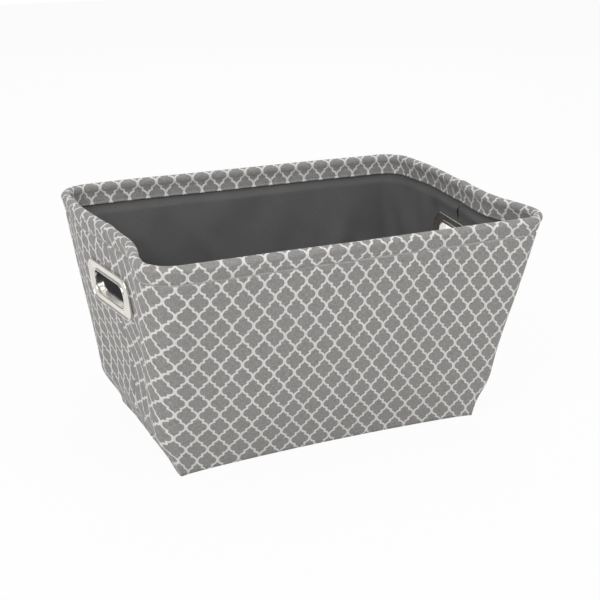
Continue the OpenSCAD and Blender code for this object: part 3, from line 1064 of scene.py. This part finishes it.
class BIN_OT_bottom_insert(bpy.types.Operator):
    """The lift-out board and its cloth cover"""

    bl_idname = "fabric_bin.bottom_insert"
    bl_label = "Bottom insert"

    def execute(self, context):
        trim = context.scene.bin_trim
        for node, name, margin in (("bottom_board", "insert_board", 0.15 * MM),
                                   ("bottom_board_cover", "insert_cover", 0.0)):
            low, high = (np.array(c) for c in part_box(node))
            size = high - low
            outline = rounded_outline(size[0], size[1], 11 * MM, count=10, straight=24)
            rings = [(-0.6, 0.0), (-0.2, 0.15), (0.0, 0.5), (-0.2, 0.85), (-0.6, 1.0)]
            if node == "bottom_board":
                piece = slab(name, outline, low, high, rings, fibreboard(trim))
            else:
                piece = pouch(name, outline, low, high, plain_lining_for_cover(trim))
            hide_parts(node)
        return {"FINISHED"}


def plain_lining_for_cover(trim):
    made = plain_lining(trim)
    made.name = "board cover cloth"
    return made


def layer_points(outline, centre, share, inset, z):
    scaled = outline[:, :2] + outline[:, 2:4] * inset
    ring = scaled * share
    return np.column_stack([ring + centre[:2], np.full(len(ring), z)])


def slab(name, outline, low, high, rings, material):
    """A board with softened edges."""
    centre = (low + high) / 2
    layers = []
    for inset, share in rings:
        layers.append(layer_points(outline, centre, 1.0, inset * MM, low[2] + share * (high[2] - low[2])))
    return capped(name, layers, centre, low[2], high[2], material, "bottom_insert")


def capped(name, layers, centre, low_z, high_z, material, body):
    n = len(layers[0])
    inward = np.linspace(1.0, 0.08, 18)[1:]
    bottom = [np.column_stack([centre[:2] + (layers[0][:, :2] - centre[:2]) * k, np.full(n, low_z)])
              for k in inward]
    top = [np.column_stack([centre[:2] + (layers[-1][:, :2] - centre[:2]) * k, np.full(n, high_z)])
           for k in inward]
    stack = bottom[::-1] + layers + top
    points = np.concatenate(stack)
    faces = []
    for r in range(len(stack) - 1):
        faces += [(r * n + j, r * n + (j + 1) % n, (r + 1) * n + (j + 1) % n, (r + 1) * n + j) for j in range(n)]
    first, last = len(points), len(points) + 1
    points = np.concatenate([points, [[centre[0], centre[1], low_z], [centre[0], centre[1], high_z]]])
    faces += [((j + 1) % n, j, first) for j in range(n)]
    base = (len(stack) - 1) * n
    faces += [(base + j, base + (j + 1) % n, last) for j in range(n)]
    return make_piece(name, points, faces, material, body, cloth=points[:, :2])


def pouch(name, outline, low, high, material):
    """A cloth cover closed round the board: an outer and an inner skin."""
    centre = (low + high) / 2
    parts = []
    for skin, flip in ((0.0, 1), (0.55 * MM, -1)):
        z0, z1 = low[2] + skin, high[2] - skin
        layers = [layer_points(outline, centre, 1.0, -0.9 * MM - skin, z0),
                  layer_points(outline, centre, 1.0, -0.3 * MM - skin, z0 + 0.25 * (z1 - z0)),
                  layer_points(outline, centre, 1.0, -skin, z0 + 0.5 * (z1 - z0)),
                  layer_points(outline, centre, 1.0, -0.3 * MM - skin, z0 + 0.75 * (z1 - z0)),
                  layer_points(outline, centre, 1.0, -0.9 * MM - skin, z1)]
        parts.append((layers, z0, z1, flip))
    meshes = []
    for layers, z0, z1, flip in parts:
        piece = capped(f"{name}_skin", layers, centre, z0, z1, material, "bottom_insert")
        if flip < 0:
            piece.data.flip_normals()
        meshes.append(piece)
    with bpy.context.temp_override(active_object=meshes[0], object=meshes[0], selected_objects=meshes,
                                   selected_editable_objects=meshes):
        bpy.ops.object.join()
    meshes[0].name = name
    return meshes[0]


class BIN_OT_stage(bpy.types.Operator):
    """Pale floor, soft studio light and the camera"""

    bl_idname = "fabric_bin.stage"
    bl_label = "Stage"

    def execute(self, context):
        scene = context.scene
        mesh = bpy.data.meshes.new("floor")
        reach = 4.0
        mesh.from_pydata([(-reach, -reach, 0), (reach, -reach, 0), (reach, reach, 0), (-reach, reach, 0)], [],
                         [(0, 1, 2, 3)])
        floor = bpy.data.objects.new("floor", mesh)
        scene.collection.objects.link(floor)
        floor.location.z = -0.2 * MM
        s = Shader("pale floor")
        path = s.node("ShaderNodeLightPath")
        seen = s.math("MAXIMUM", Val(s, path.outputs["Is Camera Ray"]), s.math(
            "MAXIMUM", Val(s, path.outputs["Is Glossy Ray"]), Val(s, path.outputs["Is Transmission Ray"])))
        matte = s.node("ShaderNodeBsdfDiffuse", {}, Color=(0.8, 0.8, 0.8, 1.0))
        glow = s.node("ShaderNodeEmission", {}, Color=(1, 1, 1, 1), Strength=1.0)
        blend = s.node("ShaderNodeMixShader", {}, i0=seen * 0.94, i1=matte.outputs[0], i2=glow.outputs[0])
        end = s.node("ShaderNodeOutputMaterial")
        s.feed(end.inputs["Surface"], blend.outputs[0])
        mesh.materials.append(s.material)

        world = bpy.data.worlds.new("studio")
        scene.world = world
        world.use_nodes = True
        tree = world.node_tree
        tree.nodes.clear()
        path = tree.nodes.new("ShaderNodeLightPath")
        low = tree.nodes.new("ShaderNodeBackground")
        low.inputs["Color"].default_value = (1, 1, 1, 1)
        low.inputs["Strength"].default_value = 0.42
        high = tree.nodes.new("ShaderNodeBackground")
        high.inputs["Color"].default_value = (1, 1, 1, 1)
        high.inputs["Strength"].default_value = 1.0
        both = tree.nodes.new("ShaderNodeMixShader")
        out = tree.nodes.new("ShaderNodeOutputWorld")
        tree.links.new(path.outputs["Is Camera Ray"], both.inputs[0])
        tree.links.new(low.outputs[0], both.inputs[1])
        tree.links.new(high.outputs[0], both.inputs[2])
        tree.links.new(both.outputs[0], out.inputs[0])

        for name, place, size, energy in (("key", (-1.7, -1.1, 1.5), 1.6, 30), ("fill", (1.3, -1.6, 1.2), 1.8, 14),
                                          ("top", (0.1, 0.0, 2.1), 1.8, 10), ("back", (0.8, 1.9, 1.3), 1.8, 9)):
            lamp = bpy.data.lights.new(name, "AREA")
            lamp.energy = energy
            lamp.size = size
            holder = bpy.data.objects.new(name, lamp)
            holder.location = place
            aim = Vector((0, 0, 0.1)) - Vector(place)
            holder.rotation_euler = aim.to_track_quat("-Z", "Y").to_euler()
            scene.collection.objects.link(holder)

        camera = bpy.data.cameras.new("camera")
        camera.lens = 70.09
        camera.sensor_width = 36
        camera.shift_x = 0.0092
        camera.shift_y = 0.0277
        camera.clip_end = 50
        holder = bpy.data.objects.new("camera", camera)
        azimuth, elevation = math.radians(-24.632), math.radians(20.664)
        back = Vector((math.sin(azimuth) * math.cos(elevation), -math.cos(azimuth) * math.cos(elevation),
                       math.sin(elevation)))
        holder.location = Vector((0, 0, 0.0954)) + back * 1.1193
        holder.rotation_euler = (-back).to_track_quat("-Z", "Y").to_euler()
        scene.collection.objects.link(holder)
        scene.camera = holder
        scene.view_settings.view_transform = "Standard"
        return {"FINISHED"}


class BIN_PT_panel(bpy.types.Panel):
    """Shows the bin's settings and a button for each building step"""

    bl_label = "Fabric storage bin"
    bl_idname = "BIN_PT_panel"
    bl_space_type = "VIEW_3D"
    bl_region_type = "UI"
    bl_category = "Bin"

    def draw(self, context):
        for group in ("bin_shape", "bin_print", "bin_trim"):
            settings = getattr(context.scene, group)
            box = self.layout.box()
            for key in settings.__annotations__:
                box.prop(settings, key)
        for operator in OPERATORS:
            self.layout.operator(operator.bl_idname)


SETTINGS = (("bin_shape", BinShape), ("bin_print", BinPrint), ("bin_trim", BinTrim))
OPERATORS = (BIN_OT_stage, BIN_OT_core, BIN_OT_canvas, BIN_OT_lining, BIN_OT_stitching, BIN_OT_hand_holds,
             BIN_OT_bottom_insert)


def register():
    for name, group in SETTINGS:
        bpy.utils.register_class(group)
        setattr(bpy.types.Scene, name, PointerProperty(type=group))
    for operator in OPERATORS:
        bpy.utils.register_class(operator)
    bpy.utils.register_class(BIN_PT_panel)


def unregister():
    bpy.utils.unregister_class(BIN_PT_panel)
    for operator in reversed(OPERATORS):
        bpy.utils.unregister_class(operator)
    for name, group in reversed(SETTINGS):
        delattr(bpy.types.Scene, name)
        bpy.utils.unregister_class(group)


def main():
    register()
    for operator in OPERATORS:
        group, action = operator.bl_idname.split(".")
        getattr(getattr(bpy.ops, group), action)()


if __name__ == "__main__":
    main()
